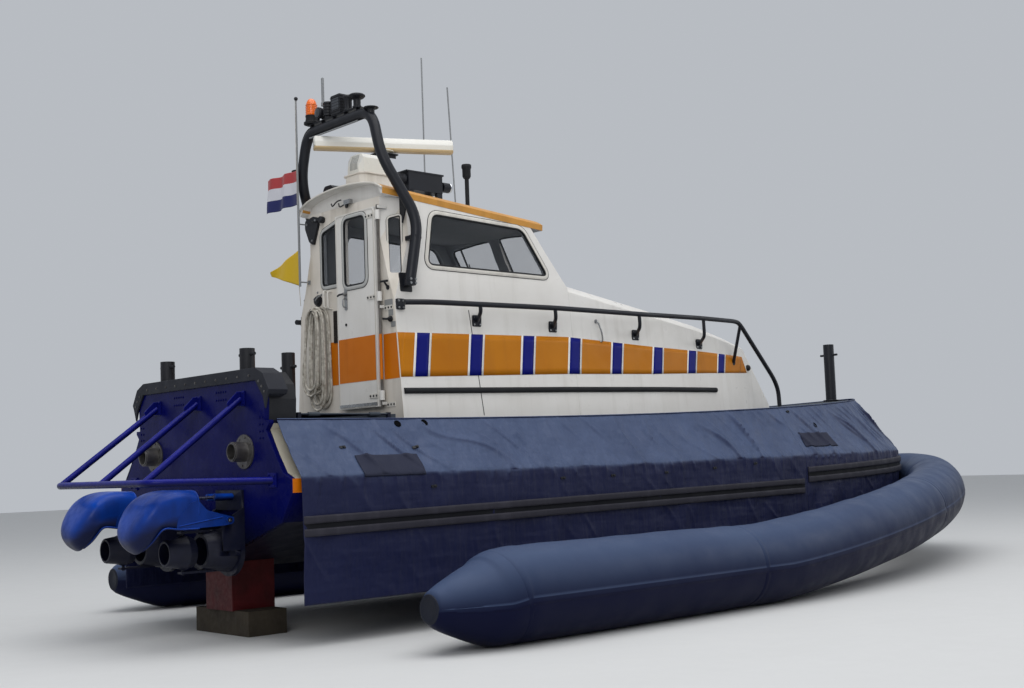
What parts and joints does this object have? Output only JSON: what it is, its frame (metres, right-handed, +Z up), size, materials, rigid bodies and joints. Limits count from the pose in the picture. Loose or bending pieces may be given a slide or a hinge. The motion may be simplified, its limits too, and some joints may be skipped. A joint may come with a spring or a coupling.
{
  "type": "inshore rescue boat",
  "caption": "Fast inflatable-collar rescue boat with wheelhouse, water-jet drives and mast arch, standing on timber cradles with its collar tube laid out round the hull.",
  "frame": {"origin": "centre of the whole length and width, on the floor the cradles and the collar tube rest on", "axes": "+X towards the bow, +Y to port, +Z up"},
  "size_m": [11.3506, 5.4598, 5.2],
  "materials": {
    "hull_paint": "gloss",
    "transom_blue": "gloss",
    "guard_blue": "satin",
    "black_rubber": "matt",
    "cover_fabric": "matt",
    "strake_rubber": "matt",
    "tube_rubber": "satin",
    "cradle_timber": "rough",
    "steel": "satin",
    "jet_metal": "satin",
    "bucket_blue": "satin",
    "house_white": "satin",
    "clear_glass": "clear",
    "door_orange": "satin",
    "dark_metal": "satin",
    "beacon_orange": "gloss",
    "scanner_white": "gloss",
    "box_black": "matt",
    "whip_white": "gloss",
    "flag_cloth": "matt",
    "pennant_cloth": "matt",
    "console_grey": "matt",
    "seat_leather": "matt",
    "rope_white": "matt"
  },
  "bodies": {
    "boat": {"hull": "hull_paint", "transom": "transom_blue", "bulwark": "guard_blue", "transom_capping": "black_rubber", "sleeve_stbd": "cover_fabric", "sleeve_port": "cover_fabric", "sleeve_bow": "cover_fabric", "rub_band_stbd": "strake_rubber", "rub_band_port": "strake_rubber", "rub_band_bow": "strake_rubber", "collar_tube": "tube_rubber", "cradle_aft": "cradle_timber", "cradle_mid": "cradle_timber", "cradle_fore": "cradle_timber", "stern_guard": "guard_blue", "exhaust_stbd": "steel", "exhaust_port": "steel", "jet_housing_stbd": "jet_metal", "jet_housing_port": "jet_metal", "tow_post": "black_rubber", "bow_post": "black_rubber", "engine_stbd": "steel", "engine_port": "steel", "wheelhouse": "house_white", "side_glass_stbd": "clear_glass", "side_glass_port": "clear_glass", "aft_glass_port": "clear_glass", "aft_glass_stbd": "clear_glass", "screen_glass_stbd": "clear_glass", "screen_glass_port": "clear_glass", "roof": "house_white", "fore_cabin": "house_white", "side_rail_stbd": "dark_metal", "side_rail_port": "dark_metal", "mast_arch": "dark_metal", "beacon": "beacon_orange", "radar_pedestal": "house_white", "roof_box": "box_black", "flagstaff": "whip_white", "flag": "flag_cloth", "pennant": "pennant_cloth", "whip_mid": "whip_white", "whip_fore": "whip_white", "helm_console": "console_grey", "seat_frame": "dark_metal", "seat_pad_stbd": "seat_leather", "seat_pad_port": "seat_leather", "rope_hank": "rope_white"},
    "door": {"door": "door_orange", "door_glass": "clear_glass"},
    "hatch_stbd": {"hatch_stbd": "hull_paint"},
    "hatch_port": {"hatch_port": "hull_paint"},
    "nozzle_stbd": {"jet_nozzle_stbd": "jet_metal"},
    "nozzle_port": {"jet_nozzle_port": "jet_metal"},
    "bucket_stbd": {"reverse_bucket_stbd": "bucket_blue"},
    "bucket_port": {"reverse_bucket_port": "bucket_blue"},
    "scanner": {"radar_scanner": "scanner_white"}
  },
  "joints": [
    {"name": "door_hinge", "type": "hinge", "parent": "boat", "child": "door", "pos_m": [-3.4113, -0.54, 2.6], "axis": [0, 0, 1], "range_deg": [0, 110]},
    {"name": "hatch_stbd_hinge", "type": "hinge", "parent": "boat", "child": "hatch_stbd", "pos_m": [-4.0233, -0.85, 1.668], "axis": [1, 0, 0], "range_deg": [0, 90]},
    {"name": "hatch_port_hinge", "type": "hinge", "parent": "boat", "child": "hatch_port", "pos_m": [-4.0233, 0.85, 1.668], "axis": [-1, 0, 0], "range_deg": [0, 90]},
    {"name": "nozzle_stbd_steer", "type": "hinge", "parent": "boat", "child": "nozzle_stbd", "pos_m": [-5.2033, -0.48, 0.68], "axis": [0, 0, 1], "range_deg": [-25, 25]},
    {"name": "nozzle_port_steer", "type": "hinge", "parent": "boat", "child": "nozzle_port", "pos_m": [-5.2033, 0.48, 0.68], "axis": [0, 0, 1], "range_deg": [-25, 25]},
    {"name": "bucket_stbd_tilt", "type": "hinge", "parent": "boat", "child": "bucket_stbd", "pos_m": [-4.9533, -0.48, 0.904], "axis": [0, -1, 0], "range_deg": [0, 42]},
    {"name": "bucket_port_tilt", "type": "hinge", "parent": "boat", "child": "bucket_port", "pos_m": [-4.9533, 0.48, 0.904], "axis": [0, -1, 0], "range_deg": [0, 42]},
    {"name": "scanner_spin", "type": "hinge", "parent": "boat", "child": "scanner", "pos_m": [-2.9133, 0, 4.05], "axis": [0, 0, 1], "continuous": true}
  ],
  "couplings": [
    {"joint": "nozzle_port_steer", "follows": "nozzle_stbd_steer", "ratio": 1}
  ]
}
